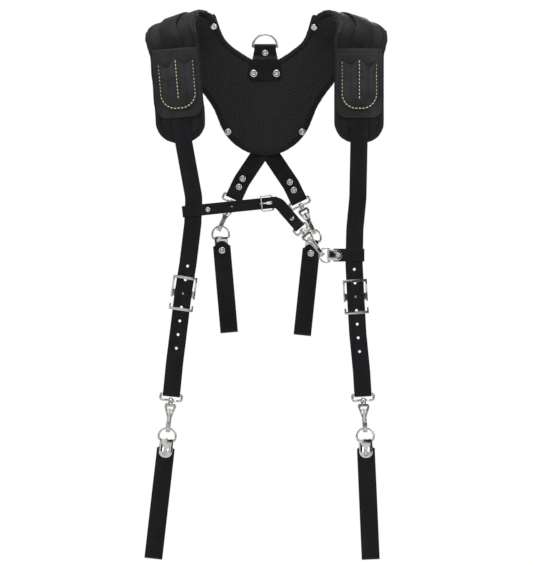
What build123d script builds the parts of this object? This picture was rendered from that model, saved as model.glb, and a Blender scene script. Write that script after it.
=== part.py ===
"""Padded leather suspenders that carry a tool belt.

A Y-shaped pad hangs over both shoulders. Two straps run along it: each starts at a snap hook behind,
crosses the other one low on the back, goes over its shoulder and down the front through a frame buckle,
and ends at a snap hook. Every hook carries a D-ring with a hanging loop for the belt. A short buckled
strap joins the two front straps across the chest.

Frame: +X is the wearer's left, the front faces -Y, +Z is up, in millimetres. The origin is the point
between the shoulders, level with the middle of the two fold lines that the arms of the pad bend over.
"""
import os
from math import asin, atan2, cos, degrees, pi, radians, sin, tan

from build123d import *

os.makedirs("parts", exist_ok=True)

# Shoulder pads, in layers from the body outwards
shoulder_radius = 45.0
lining_thickness = 2.0
foam_thickness = 8.0
leather_thickness = 2.0
pad_width = 92.0
binding_width = 3.0
front_pad_length = 178.0
front_pad_corner = 39.0
neck_edge_z = -31.0
yoke_bottom_z = -205.0

# How the arms of the pad lie: angle from upright behind, and slope of the line they fold over
left_arm_angle, left_fold_slope = 32.5, 16.25
right_arm_angle, right_fold_slope = 33.0, 19.0

# Straps
strap_width = 32.0
strap_thickness = 3.0
strap_cross_z = -186.0
strap_bend_radius = 70.0
doubled_length = 62.0
hole_diameter = 5.0
hole_pitch = 25.4
left_front_route = [(180, -186), (172, -288), (166.5, -345), (165, -410), (168, -471), (172, -540), (179, -610)]
right_front_route = [(-147, -186), (-132, -288), (-134, -336), (-143, -410), (-152, -465), (-160, -531), (-168, -595)]
left_front_end, right_front_end = (181.5, -651), (-173.5, -651)
left_front_tail_z, right_front_tail_z = -356.0, -346.0
left_back_end, right_back_end = (-58, -282), (63, -288)
back_end_bend = 29.0

# Snap hooks, D-rings and belt hangers
running_gap = 0.3
pressed = 0.2
eye_wire = 4.5
eye_width = 44.0
eye_height = 17.0
hook_throat = 11.0
hook_thickness = 4.5
hook_length = 67.5
ring_wire = 3.8
ring_width = 35.5
ring_height = 26.0
clip_thickness = 1.2
clip_width = 25.0
hanger_width = 33.0
hanger_leather = 3.0
front_hanger_length = 222.0
back_hanger_length = 180.0
hanger_gap = 10.8

# Ring on top of the back
top_ring_wire = 4.2
top_ring_width = 51.0
tab_leather = 3.0
tab_top_width = 41.0
tab_bottom_width = 64.0
tab_widens_z = -5.0
tab_bottom_z = -62.0
tab_rivet_z = -11.0

# Frame buckles on the front straps
frame_width = 45.0
frame_height = 64.0
frame_bar = 5.0
frame_metal = 3.0
frame_pin = 4.0

# Chest strap
chest_width = 21.0
chest_leather = 2.4

# Rivets
large_cap = 7.2
medium_cap = 6.3
small_cap = 4.8
rivet_post = 2.0
cap_height = 1.8

# Worked out from the sizes above
foam_inner = shoulder_radius + lining_thickness
leather_inner = foam_inner + foam_thickness
pad_outer = leather_inner + leather_thickness
strap_outer = pad_outer + strap_thickness
bridge_outer = strap_outer + strap_thickness
half_pad = pad_width / 2
half_strap = strap_width / 2
reach = 400.0


class Shoulder:
    """One side of the harness: the line its arm folds over, and the arm's place behind and in front."""

    def __init__(self, name, sign, arm_angle, fold_slope):
        self.name, self.sign = name, sign
        self.arm, self.slope = radians(arm_angle), radians(fold_slope)
        self.lean = 2 * self.slope - self.arm
        self.skew = self.arm - self.slope
        self.advance = pi * (pad_outer + strap_thickness / 2) * tan(self.skew)
        rise = self.advance / 2 * sin(self.slope)
        behind_x = sign * (rise - strap_cross_z) * tan(self.arm)
        self.behind = (behind_x, rise)
        self.before = (behind_x + sign * self.advance * cos(self.slope), -rise)
        self.middle = ((self.behind[0] + self.before[0]) / 2, 0, 0)
        self.across = Plane(self.middle, x_dir=(0, 1, 0), z_dir=(cos(self.slope), 0, -sign * sin(self.slope)))
        self.above = Plane(
            self.middle,
            x_dir=(sign * cos(self.slope), 0, -sin(self.slope)),
            z_dir=(sign * sin(self.slope), 0, cos(self.slope)),
        )

    def back_point(self, down, outward):
        """Point (x, z) behind, this far down the arm from the fold line and outward of its middle."""
        x = self.behind[0] + self.sign * (outward * cos(self.arm) - down * sin(self.arm))
        return x, self.behind[1] - down * cos(self.arm) - outward * sin(self.arm)

    def front_point(self, down, outward):
        """Point (x, z) in front, this far down the pad from the fold line and outward of its middle."""
        x = self.before[0] + self.sign * (outward * cos(self.lean) - down * sin(self.lean))
        return x, self.before[1] - down * cos(self.lean) - outward * sin(self.lean)

    def fold_point(self, x):
        """Point (x, z) of the fold line."""
        return x, (self.middle[0] - x) * self.sign * tan(self.slope)


left = Shoulder("left", 1, left_arm_angle, left_fold_slope)
right = Shoulder("right", -1, right_arm_angle, right_fold_slope)


def slab(outline, low_y, high_y):
    """A flat piece: an outline of (x, z) between two values of y."""
    with BuildPart() as piece:
        with BuildSketch(Plane.XZ.offset(-high_y)):
            add(outline)
        extrude(amount=high_y - low_y)
    return piece.part


def polygon(*points):
    """An outline through points (x, z)."""
    with BuildSketch() as outline:
        with BuildLine():
            Polyline(*points, close=True)
        make_face()
    return outline.sketch


def band(points, width, radius=strap_bend_radius):
    """The outline of a strap of this width along a route of (x, z) points, with its bends rounded."""
    with BuildSketch() as outline:
        with BuildLine() as route:
            FilletPolyline(*points, radius=radius)
        trace(route.line, line_width=width)
    return outline.sketch


def below_fold(*sides):
    """The outline of everything below the fold lines of these sides."""
    points = []
    for side in sides:
        near, far = (-reach, reach) if len(sides) == 1 else (side.sign, side.sign * reach)
        line = [side.fold_point(near), side.fold_point(far)]
        corner = [(far, -3 * reach)]
        points += line + corner if side is sides[0] else (line + corner)[::-1]
    if len(sides) == 1:
        points.append((-reach, -3 * reach))
    return polygon(*points)


def bend(side, inner, outer, from_edge, to_edge, from_angle=0, to_angle=180):
    """The stretch over the shoulder of a layer, between two radii and two distances from its middle."""
    start = -side.advance / 2
    low, high = from_edge / cos(side.skew), to_edge / cos(side.skew)
    flank = [(start + low, outer), (start + low, shoulder_radius),
             (low - start, -shoulder_radius), (low - start, -outer)]
    other = [(s + high - low, y) for s, y in reversed(flank)]
    rim = [(2 * outer * cos(radians(a)), 2 * outer * sin(radians(a)))
           for a in (from_angle, (2 * from_angle + to_angle) / 3, (from_angle + 2 * to_angle) / 3, to_angle)]
    with BuildPart() as piece:
        with BuildSketch(side.across):
            Circle(outer)
            Circle(inner, mode=Mode.SUBTRACT)
            with BuildLine():
                Polyline((0, 0), *rim, close=True)
            make_face(mode=Mode.INTERSECT)
        extrude(amount=reach, both=True)
        with BuildSketch(side.above):
            with BuildLine():
                Polyline(*[(s, side.sign * y) for s, y in flank + other], close=True)
            make_face()
        extrude(amount=2 * outer, both=True, mode=Mode.INTERSECT)
    return piece.part


def finish(builder, name):
    """Name a piece and write it out."""
    builder.part.label = name
    export_step(builder.part, f"parts/{name}.step")


# ---------------------------------------------------------------- rivets of the harness itself

def rivet(stack, outer_cap, inner_cap):
    """A rivet along +Z through a stack of leather whose outer face is at 0: two domed caps on a post."""
    def cap(radius, face, way):
        return [(0, face + way * cap_height * 0.7), (radius * 0.25, face + way * cap_height * 0.7),
                (radius * 0.35, face + way * cap_height), (radius * 0.8, face + way * cap_height),
                (radius, face + way * cap_height * 0.4), (radius, face)]
    with BuildPart() as piece:
        with BuildSketch(Plane.XZ):
            with BuildLine():
                Polyline(*cap(outer_cap, 0, 1), (rivet_post, 0), (rivet_post, -stack),
                         *reversed(cap(inner_cap, -stack, -1)), close=True)
            make_face()
        revolve(axis=Axis.Z)
    return piece.part


def rivet_behind(x, z, outer_y, inner_y, outer_cap, inner_cap):
    """A rivet whose outer cap faces backwards."""
    spot = Plane((x, outer_y, z), x_dir=(1, 0, 0), z_dir=(0, 1, 0))
    return rivet(outer_y - inner_y, outer_cap, inner_cap).moved(spot.location)


def rivet_before(x, z, outer_y, inner_y, outer_cap, inner_cap):
    """A rivet whose outer cap faces forwards."""
    spot = Plane((x, outer_y, z), x_dir=(1, 0, 0), z_dir=(0, -1, 0))
    return rivet(inner_y - outer_y, outer_cap, inner_cap).moved(spot.location)


keeper_leather = 2.5
keeper_angles = (6.0, 46.0)
keeper_rivet_edge = 36.0
keeper_outer = pad_outer + keeper_leather


def keeper_rivet(side, edge):
    """A rivet at one end of a shoulder keeper, square to the curve of the pad."""
    angle = radians(sum(keeper_angles) / 2)
    slant = side.advance / 2 * cos(angle) * pad_outer / shoulder_radius
    along = edge / cos(side.skew) - min(slant, side.advance / 2)
    foot = side.above.from_local_coords((along, side.sign * keeper_outer * cos(angle),
                                         keeper_outer * sin(angle)))
    outward = side.across.from_local_coords((cos(angle), sin(angle), 0)) - side.across.origin
    spot = Plane(foot, z_dir=outward)
    return rivet(keeper_outer - shoulder_radius, large_cap, medium_cap).moved(spot.location)


def along_strap_end(end, before_end, distance):
    """Point (x, z) on a strap's last stretch, this far before its end."""
    x, z = before_end[0] - end[0], before_end[1] - end[1]
    length = (x * x + z * z) ** 0.5
    return end[0] + x * distance / length, end[1] + z * distance / length


patch_top_z, patch_bottom_z = -143.0, -180.0
patch_leather = 2.2
patch_rivet = (70.0, -160.0)
tab_rivet_spread = 43.0
tab_lower_rivet_z = -50.0
pad_middle = shoulder_radius + (pad_outer - shoulder_radius) / 2
chest_front = -strap_outer - chest_leather
chest_rivet = (-106, -309.5)


def back_bend(end, bend_x):
    """Where a strap turns towards its eye, low on the back."""
    return (bend_x, end[1] + back_end_bend)


left_back_bend = back_bend(left_back_end, -44.5)
right_back_bend = back_bend(right_back_end, 49.0)
strap_end_rivets = (20.0, 37.0)

with BuildPart() as body_rivets:
    for side in (left, right):
        for edge in (-keeper_rivet_edge, keeper_rivet_edge):
            add(keeper_rivet(side, edge))
        add(rivet_behind(side.sign * patch_rivet[0], patch_rivet[1], pad_outer + patch_leather,
                         shoulder_radius, large_cap, medium_cap))
        add(rivet_behind(side.sign * tab_rivet_spread / 2, tab_lower_rivet_z, pad_outer + tab_leather,
                         shoulder_radius - tab_leather, medium_cap, large_cap))
    add(rivet_behind(0, tab_rivet_z, pad_middle + tab_leather, pad_middle - tab_leather,
                     small_cap, medium_cap))
    for distance in strap_end_rivets:
        add(rivet_behind(*along_strap_end(left_back_end, left_back_bend, distance),
                         strap_outer, pad_outer - strap_thickness, small_cap, medium_cap))
        add(rivet_behind(*along_strap_end(right_back_end, right_back_bend, distance),
                         bridge_outer, pad_outer, small_cap, medium_cap))
finish(body_rivets, "body_rivets")


# ---------------------------------------------------------------- shoulder pad

yoke_side = [(100, -109), (84, -148), (50, -189)]
yoke_neck = (46, -10)
outer_leave, neck_leave = 52.0, 20.0
curve_steps = 12


def mirrored(points):
    """The same points on the other side, in reverse order."""
    return [(-x, z) for x, z in reversed(points)]


def direction(side, way):
    """Unit vector (x, z) along the arm behind: way 1 goes up, -1 goes down."""
    return way * side.sign * sin(side.arm), way * cos(side.arm)


def inset_points(points, tangents, inset):
    """Points of a curve through given points, moved sideways into the pad."""
    with BuildLine():
        curve = Spline(*points, tangents=tangents)
    spots = [curve @ (step / curve_steps) for step in range(curve_steps + 1)]
    ways = [curve % (step / curve_steps) for step in range(curve_steps + 1)]
    return [(spot.X + way.Y * inset, spot.Y - way.X * inset) for spot, way in zip(spots, ways)]


def yoke_outline(inset=0.0):
    """The flat part of the pad behind, from the neck to below the strap crossing."""
    past, edge = -60, half_pad - inset
    hem_ways = [direction(left, -1), direction(right, 1)]
    neck_ways = [direction(right, -1), direction(left, 1)]
    hem = inset_points([left.back_point(outer_leave, half_pad), *yoke_side, (0, yoke_bottom_z),
                        *mirrored(yoke_side), right.back_point(outer_leave, half_pad)], hem_ways, inset)
    neck = inset_points([right.back_point(neck_leave, -half_pad), (-yoke_neck[0], yoke_neck[1]),
                         (0, neck_edge_z), yoke_neck, left.back_point(neck_leave, -half_pad)],
                        neck_ways, inset)
    with BuildSketch() as outline:
        with BuildLine():
            Line(left.back_point(past, edge), hem[0])
            Spline(*hem, tangents=hem_ways)
            Line(hem[-1], right.back_point(past, edge))
            Line(right.back_point(past, edge), right.back_point(past, -edge))
            Line(right.back_point(past, -edge), neck[0])
            Spline(*neck, tangents=neck_ways)
            Line(neck[-1], left.back_point(past, -edge))
            Line(left.back_point(past, -edge), left.back_point(past, edge))
        make_face()
        add(below_fold(left, right), mode=Mode.INTERSECT)
    return outline.sketch


def front_pad_outline(side, inset=0.0):
    """The flat part of the pad in front of one shoulder, with its rounded lower end."""
    edge = half_pad - inset
    with BuildSketch() as outline:
        with BuildLine():
            Polyline(side.front_point(-60, -edge), side.front_point(front_pad_length - inset, -edge),
                     side.front_point(front_pad_length - inset, edge), side.front_point(-60, edge),
                     close=True)
        make_face()
        corner = min(front_pad_corner, half_pad - 2 * binding_width)
        fillet(outline.vertices().sort_by(Axis.Y)[:2], corner - inset)
        add(below_fold(side), mode=Mode.INTERSECT)
    return outline.sketch


def pad_layer(name, inner, outer):
    """One layer of the pad, inside its edge binding."""
    with BuildPart() as layer:
        add(slab(yoke_outline(binding_width), inner, outer))
        for side in (left, right):
            add(bend(side, inner, outer, binding_width - half_pad, half_pad - binding_width))
            add(slab(front_pad_outline(side, binding_width), -outer, -inner))
        for pin in body_rivets.solids():
            add(pin, mode=Mode.SUBTRACT)
    finish(layer, name)


pad_layer("pad_lining", shoulder_radius, foam_inner)
pad_layer("pad_foam", foam_inner, leather_inner)
pad_layer("pad_leather", leather_inner, pad_outer)


def rim(outline, inner_outline):
    """The ring between two outlines."""
    with BuildSketch() as ring:
        add(outline)
        add(inner_outline, mode=Mode.SUBTRACT)
    return ring.sketch


with BuildPart() as pad_binding:
    add(slab(rim(yoke_outline(), yoke_outline(binding_width)), shoulder_radius, pad_outer))
    for side in (left, right):
        add(bend(side, shoulder_radius, pad_outer, -half_pad, binding_width - half_pad))
        add(bend(side, shoulder_radius, pad_outer, half_pad - binding_width, half_pad))
        add(slab(rim(front_pad_outline(side), front_pad_outline(side, binding_width)),
                 -pad_outer, -shoulder_radius))
    for pin in body_rivets.solids():
        add(pin, mode=Mode.SUBTRACT)
finish(pad_binding, "pad_binding")

# ---------------------------------------------------------------- back patch and shoulder keepers

patch_reach = 62.0
patch_flat = 50.0

with BuildPart() as back_patch:
    with BuildSketch(Plane.XY.offset(patch_bottom_z)):
        with BuildLine():
            Polyline((-reach, pad_outer), (-patch_reach, pad_outer), (-patch_flat, bridge_outer),
                     (patch_flat, bridge_outer), (patch_reach, pad_outer), (reach, pad_outer),
                     (reach, pad_outer + patch_leather), (patch_reach, pad_outer + patch_leather),
                     (patch_flat, bridge_outer + patch_leather), (-patch_flat, bridge_outer + patch_leather),
                     (-patch_reach, pad_outer + patch_leather), (-reach, pad_outer + patch_leather),
                     close=True)
        make_face()
    extrude(amount=patch_top_z - patch_bottom_z)
    add(slab(yoke_outline(), 0, 2 * pad_outer), mode=Mode.INTERSECT)
    add(body_rivets.part, mode=Mode.SUBTRACT)
finish(back_patch, "back_patch")

keeper_step = half_strap + running_gap
for side in (left, right):
    with BuildPart() as keeper:
        over = strap_outer + keeper_leather
        add(bend(side, strap_outer, over, -keeper_step - keeper_leather, keeper_step + keeper_leather,
                 *keeper_angles))
        for way in (-1, 1):
            wall = sorted((way * keeper_step, way * (keeper_step + keeper_leather)))
            foot = sorted((way * (keeper_step + keeper_leather), way * half_pad))
            add(bend(side, pad_outer, strap_outer, *wall, *keeper_angles))
            add(bend(side, pad_outer, keeper_outer, *foot, *keeper_angles))
        add(body_rivets.part, mode=Mode.SUBTRACT)
    finish(keeper, f"shoulder_keeper_{side.name}")

# ---------------------------------------------------------------- straps


def hang_plane(end, y, tilt):
    """Where something hangs: local x runs across it to the wearer's left, local y up, facing forwards."""
    return Plane((end[0], y, end[1]), x_dir=(cos(tilt), 0, sin(tilt)), z_dir=(0, -1, 0))


def side_plane(face):
    """The plane across a hanging piece: local x runs backwards and local y up."""
    return Plane(face.origin, x_dir=(0, 1, 0), z_dir=face.x_dir)


def end_tilt(end, before_end):
    """How far a strap's last stretch is from upright: positive when it goes down to the wearer's left."""
    return atan2(end[0] - before_end[0], before_end[1] - end[1])


loop_inner = eye_wire / 2 + running_gap
loop_outer = loop_inner + strap_thickness


def strap_loop(face, across=strap_width):
    """A strap's doubled end round the bar of its eye, without the two flat layers above it."""
    with BuildPart() as loop:
        with BuildSketch(side_plane(face)):
            Circle(loop_outer)
            with BuildLine():
                Polyline((-loop_outer, 0), (-strap_thickness, 3 * loop_outer),
                         (strap_thickness, 3 * loop_outer), (loop_outer, 0), close=True)
            make_face()
            Circle(loop_inner, mode=Mode.SUBTRACT)
        extrude(amount=across / 2, both=True)
    return loop.part


def above_end(face, height):
    """A half plane above a height on a hanging piece, to trim a strap by."""
    with BuildPart() as region:
        with BuildSketch(side_plane(face)):
            with Locations((0, height + reach / 2)):
                Rectangle(reach, reach)
        extrude(amount=reach / 2, both=True)
    return region.part


def doubled_layer(face, outline, outer_y):
    """The layer of a strap's doubled end that lies nearer the body."""
    with BuildPart() as layer:
        add(slab(outline, outer_y - strap_thickness, outer_y))
        add(above_end(face, 3 * loop_outer), mode=Mode.INTERSECT)
        add(above_end(face, doubled_length), mode=Mode.SUBTRACT)
    return layer.part


def back_profile(side):
    """Side view of a strap behind: the right one steps up to lie over the left one where they cross."""
    step = strap_thickness if side is right else 0
    start, end = half_strap / sin(side.arm) - 3, half_strap / sin(side.arm) + 18
    face = [(-reach, pad_outer + step), (start, pad_outer + step), (end, pad_outer), (reach, pad_outer)]
    return face + [(u, y + strap_thickness) for u, y in reversed(face)]


back_ends = {"left": (left_back_end, left_back_bend), "right": (right_back_end, right_back_bend)}


def back_strap(side):
    """The part of a strap behind: along the arm, past the crossing, and doubled round its eye."""
    end, turn = back_ends[side.name]
    step = strap_thickness if side is right else 0
    middle_y = pad_outer + step
    face = hang_plane(end, middle_y, end_tilt(end, turn))
    outline = band([end, turn, (0, strap_cross_z), side.back_point(-60, 0)], strap_width)
    with BuildPart() as strap:
        add(slab(outline, 0, 2 * pad_outer))
        with BuildSketch(Plane((0, 0, strap_cross_z), x_dir=(side.sign * sin(side.arm), 0, cos(side.arm)),
                               z_dir=(-cos(side.arm), 0, side.sign * sin(side.arm)))):
            with BuildLine():
                Polyline(*back_profile(side), close=True)
            make_face()
        extrude(amount=reach, both=True, mode=Mode.INTERSECT)
        add(slab(below_fold(left, right), 0, 2 * pad_outer), mode=Mode.INTERSECT)
        add(above_end(face, 3 * loop_outer), mode=Mode.INTERSECT)
        add(doubled_layer(face, outline, middle_y))
        add(strap_loop(face))
    return strap.part


def front_runs(tail):
    """Side views of a front strap: down the front and round the bar of the eye, and back up to its tail."""
    mean = loop_inner + strap_thickness / 2
    doubled = strap_thickness - pressed - mean
    down = band([(-mean, 3 * reach), (-mean, -mean), (mean, -mean), (mean, 12)],
                strap_thickness, mean * 0.998)
    return down, band([(mean, 11), (doubled, 75), (doubled, tail)], strap_thickness, 60)


front_bar_y = -(pad_outer + strap_thickness / 2) + loop_inner + strap_thickness / 2


def route_points(side):
    """A front strap's route in front, from above the fold line down to its eye."""
    route, end = (left_front_route, left_front_end) if side is left else (right_front_route, right_front_end)
    return [side.front_point(-60, 0), side.front_point(150, 0)] + route[1:] + [end]


def front_face(side):
    """Where the bar of a front eye lies."""
    points = route_points(side)
    return hang_plane(points[-1], front_bar_y, end_tilt(points[-1], points[-2]))


front_tails = {"left": left_front_tail_z, "right": right_front_tail_z}
buckle_points = {"left": left_front_route[4], "right": right_front_route[4]}
buckle_tilts = {"left": radians(3.5), "right": radians(-8.5)}
hole_steps = range(-2, 5)


def route_point(side, z):
    """Point (x, z) of a front strap's route at a height."""
    points = route_points(side)
    for (x0, z0), (x1, z1) in zip(points, points[1:]):
        if z1 <= z <= z0:
            return x0 + (x1 - x0) * (z0 - z) / (z0 - z1), z


def hole_points(side):
    """Where a front strap is punched: evenly along its route, on both sides of the buckle's pin."""
    pin_z = buckle_points[side.name][1]
    return [route_point(side, pin_z - step * hole_pitch) for step in hole_steps]


def front_strap(side):
    """The part of a strap in front: over the pad and down through its buckle to its doubled end."""
    face = front_face(side)
    tail = front_tails[side.name] - face.origin.Z
    with BuildPart() as strap:
        for run in front_runs(tail):
            with BuildSketch(side_plane(face)):
                add(run)
            extrude(amount=reach, both=True)
        add(slab(band(route_points(side), strap_width), -2 * pad_outer, 0)
            + strap_loop(face), mode=Mode.INTERSECT)
        add(slab(below_fold(side), -2 * pad_outer, 0), mode=Mode.INTERSECT)
        for x, z in hole_points(side):
            with Locations(Plane((x, front_bar_y, z), z_dir=(0, -1, 0))):
                Cylinder(hole_diameter / 2, 4 * strap_thickness, mode=Mode.SUBTRACT)
    return strap.part


for side in (left, right):
    with BuildPart() as strap:
        add(back_strap(side))
        add(bend(side, pad_outer, strap_outer, -half_strap, half_strap))
        add(front_strap(side))
        add(body_rivets.part, mode=Mode.SUBTRACT)
    finish(strap, f"strap_{side.name}")

# ---------------------------------------------------------------- ring on the back, for hanging up

top_ring_centre = Plane((0, pad_middle, 1), x_dir=(1, 0, 0), z_dir=(0, -1, 0))


def d_ring(face, wire, width, height):
    """A D-ring: a bar below and an arc above, round the arc's centre."""
    arc_radius = (width - wire) / 2
    drop = height - wire - arc_radius
    start = degrees(asin(drop / arc_radius))
    half_bar = (arc_radius ** 2 - drop ** 2) ** 0.5
    with BuildPart() as ring:
        with BuildLine(face) as arc:
            CenterArc((0, 0), arc_radius, -start, 180 + 2 * start)
        with BuildSketch(Plane(arc.line @ 0, z_dir=arc.line % 0)):
            Circle(wire / 2)
        sweep(path=arc.line)
        with BuildSketch(side_plane(face)):
            with Locations((0, -drop)):
                Circle(wire / 2)
        extrude(amount=half_bar, both=True)
        for x in (-half_bar, half_bar):
            with Locations(face.from_local_coords((x, -drop, 0))):
                Sphere(wire / 2)
    return ring.part


tab_closed_drop, tab_open_drop = 17.0, 23.5
tab_loop = top_ring_wire / 2 + running_gap


def tab_outline():
    """The ring tab from behind: it widens downwards and its lower corners are round."""
    top, low = top_ring_centre.origin.Z + 8, tab_bottom_z
    with BuildSketch() as outline:
        with BuildLine():
            Polyline((-tab_top_width / 2, top), (-tab_top_width / 2, tab_widens_z),
                     (-tab_bottom_width / 2, low), (tab_bottom_width / 2, low),
                     (tab_top_width / 2, tab_widens_z), (tab_top_width / 2, top), close=True)
        make_face()
        fillet(outline.vertices().sort_by(Axis.Y)[:2], 9)
    return outline.sketch


with BuildPart() as ring_tab:
    middle = side_plane(top_ring_centre)
    tab_bottom = tab_bottom_z - top_ring_centre.origin.Z
    half_stack = pad_outer - pad_middle
    with BuildSketch(middle):
        Circle(tab_loop + tab_leather)
        with BuildLine():
            Polyline((-tab_loop - tab_leather, 0), (-tab_leather, -tab_closed_drop / 2),
                     (-tab_leather, -tab_closed_drop), (-half_stack - tab_leather, -tab_open_drop),
                     (-half_stack - tab_leather, tab_bottom), (-half_stack, tab_bottom),
                     (-half_stack, -tab_open_drop - 1), (0, -tab_closed_drop - 1),
                     (half_stack, -tab_open_drop - 1), (half_stack, tab_bottom),
                     (half_stack + tab_leather, tab_bottom), (half_stack + tab_leather, -tab_open_drop),
                     (tab_leather, -tab_closed_drop), (tab_leather, -tab_closed_drop / 2),
                     (tab_loop + tab_leather, 0), close=True)
        make_face()
        Circle(tab_loop, mode=Mode.SUBTRACT)
    extrude(amount=tab_bottom_width / 2, both=True)
    add(slab(tab_outline(), 0, 2 * pad_outer), mode=Mode.INTERSECT)
    add(body_rivets.part, mode=Mode.SUBTRACT)
finish(ring_tab, "ring_tab")

with BuildPart() as top_ring:
    add(d_ring(top_ring_centre, top_ring_wire, top_ring_width, (top_ring_width + top_ring_wire) / 2 + 0.01))
finish(top_ring, "top_ring")

# ---------------------------------------------------------------- pouches on the front pads

sleeve_leather = 2.2
sleeve_width = 84.0
sleeve_top, sleeve_bottom = 4.0, 132.0
sleeve_outer = strap_outer + sleeve_leather
pocket_width = 70.0
pocket_top, pocket_bottom = 24.0, 118.0
pocket_depth = 8.0
pocket_wall = 1.8
pocket_seam = 3.2
pocket_corner = 30.0


def pad_area(side, top, bottom, half_width, corner):
    """An area of the front pad with a rounded lower end, measured down from the fold line."""
    with BuildSketch() as outline:
        with BuildLine():
            Polyline(side.front_point(top, -half_width), side.front_point(bottom, -half_width),
                     side.front_point(bottom, half_width), side.front_point(top, half_width), close=True)
        make_face()
        fillet(outline.vertices().sort_by(Axis.Y)[:2], corner)
    return outline.sketch


def pocket_inside(side, way):
    """The inside of one of the two pockets that share a middle seam."""
    near, far = way * pocket_seam / 2, way * pocket_width / 2
    strip = [side.front_point(down, edge)
             for down, edge in ((0, near), (reach, near), (reach, far), (0, far))]
    with BuildSketch() as outline:
        add(pad_area(side, pocket_top - 1, pocket_bottom - pocket_seam,
                     pocket_width / 2 - pocket_seam, pocket_corner - pocket_seam))
        add(polygon(*strip), mode=Mode.INTERSECT)
    return outline.sketch


def sleeve_profile():
    """Section of a sleeve: raised over the strap, down on the pad at both sides."""
    step = half_strap + running_gap
    half = [(step, strap_outer), (step + 8, pad_outer), (half_pad, pad_outer)]
    inner = [(-x, y) for x, y in reversed(half)] + half
    return inner + [(x, y + sleeve_leather) for x, y in reversed(inner)]


def pad_section(side):
    """The plane across a front pad: local x runs outwards from its middle and local y forwards."""
    x, z = side.front_point(0, 0)
    return Plane((x, 0, z), x_dir=(side.sign * cos(side.lean), 0, -sin(side.lean)),
                 z_dir=(-sin(side.lean), 0, -side.sign * cos(side.lean)))


for side in (left, right):
    with BuildPart() as sleeve:
        with BuildSketch(pad_section(side)):
            with BuildLine():
                Polyline(*sleeve_profile(), close=True)
            make_face()
        extrude(amount=reach, both=True)
        add(slab(pad_area(side, sleeve_top, sleeve_bottom, sleeve_width / 2, 18), -2 * pad_outer, 0),
            mode=Mode.INTERSECT)
        add(slab(below_fold(side), -2 * pad_outer, 0), mode=Mode.INTERSECT)
    finish(sleeve, f"pouch_sleeve_{side.name}")

    with BuildPart() as pockets:
        panel = pad_area(side, pocket_top, pocket_bottom, pocket_width / 2, pocket_corner)
        add(slab(panel, -sleeve_outer - pocket_depth, -sleeve_outer))
        chamfer(pockets.faces().sort_by(Axis.Y)[0].edges(), 3)
        for way in (-1, 1):
            add(slab(pocket_inside(side, way), -sleeve_outer - pocket_depth + pocket_wall, -sleeve_outer),
                mode=Mode.SUBTRACT)
    finish(pockets, f"pouch_pockets_{side.name}")

# ---------------------------------------------------------------- frame buckles on the front straps

frame_face = -strap_outer
frame_back = -(pad_outer - strap_thickness)
rail_gap = 3.2

for side in (left, right):
    point = buckle_points[side.name]
    face = hang_plane(point, 0, buckle_tilts[side.name])
    across = side_plane(face)
    high = frame_height / 2 - frame_bar / 2
    front_level, back_level = frame_face - frame_metal / 2, frame_back + frame_metal / 2
    with BuildPart() as buckle:
        with BuildSketch(across):
            with BuildLine() as rail:
                FilletPolyline((front_level, high + frame_bar / 2), (front_level, high - 8), (back_level, 9),
                               (back_level, -9), (front_level, 8 - high), (front_level, -high - frame_bar / 2),
                               radius=5)
            trace(rail.line, line_width=frame_metal)
        extrude(amount=frame_width / 2, both=True)
        with BuildSketch(across):
            Rectangle(reach, reach)
        extrude(amount=half_strap + rail_gap, both=True, mode=Mode.SUBTRACT)
        for y, z in ((front_level, high), (front_level, -high)):
            with BuildSketch(across):
                with Locations((y, z)):
                    Rectangle(frame_metal, frame_bar)
            extrude(amount=frame_width / 2, both=True)
        with BuildSketch(across):
            with Locations((back_level, 0)):
                Rectangle(frame_metal, 13)
        extrude(amount=frame_width / 2, both=True)
        with Locations(Plane((point[0], frame_back, point[1]), z_dir=(0, -1, 0))):
            Cylinder(frame_pin / 2, 2 * strap_thickness + 1.5,
                     align=(Align.CENTER, Align.CENTER, Align.MIN))
    finish(buckle, f"frame_buckle_{side.name}")

# ---------------------------------------------------------------- snap hook, D-ring and belt hanger

eye_drop = eye_height - eye_wire
boss_radius, boss_bore, boss_length = 5.0, 2.6, 5.6
button_radius, button_height = 4.0, 2.3
stem_radius = 2.3
gate_width, gate_pin = 4.4, 1.0
gate_pivot = (5.2, -30.0)
bowl_depth = hook_length - hook_throat / 2
head_half_width = 11.0
bowl_half_width = 4.3
bowl_clearance = 1.1


def eye(face, width):
    """The rectangular eye that a strap end is folded round, with the boss that a hook turns in."""
    half = (width - eye_wire) / 2
    with BuildPart() as piece:
        with BuildLine(face) as loop:
            FilletPolyline((half, 0), (half, -eye_drop), (-half, -eye_drop), (-half, 0),
                           radius=eye_wire * 0.8, close=True)
        with BuildSketch(Plane(loop.wire() @ 0, z_dir=loop.wire() % 0)):
            Circle(eye_wire / 2)
        sweep(path=loop.wire())
        foot = Plane(face.from_local_coords((0, -eye_drop - boss_length / 2, 0)), z_dir=face.y_dir)
        with Locations(foot):
            Cylinder(boss_radius, boss_length, align=(Align.CENTER, Align.CENTER, Align.MIN))
            Cylinder(boss_bore, 2 * eye_height, mode=Mode.SUBTRACT)
    return piece.part


boss_top = -eye_drop + boss_length / 2
boss_bottom = -eye_drop - boss_length / 2


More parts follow.
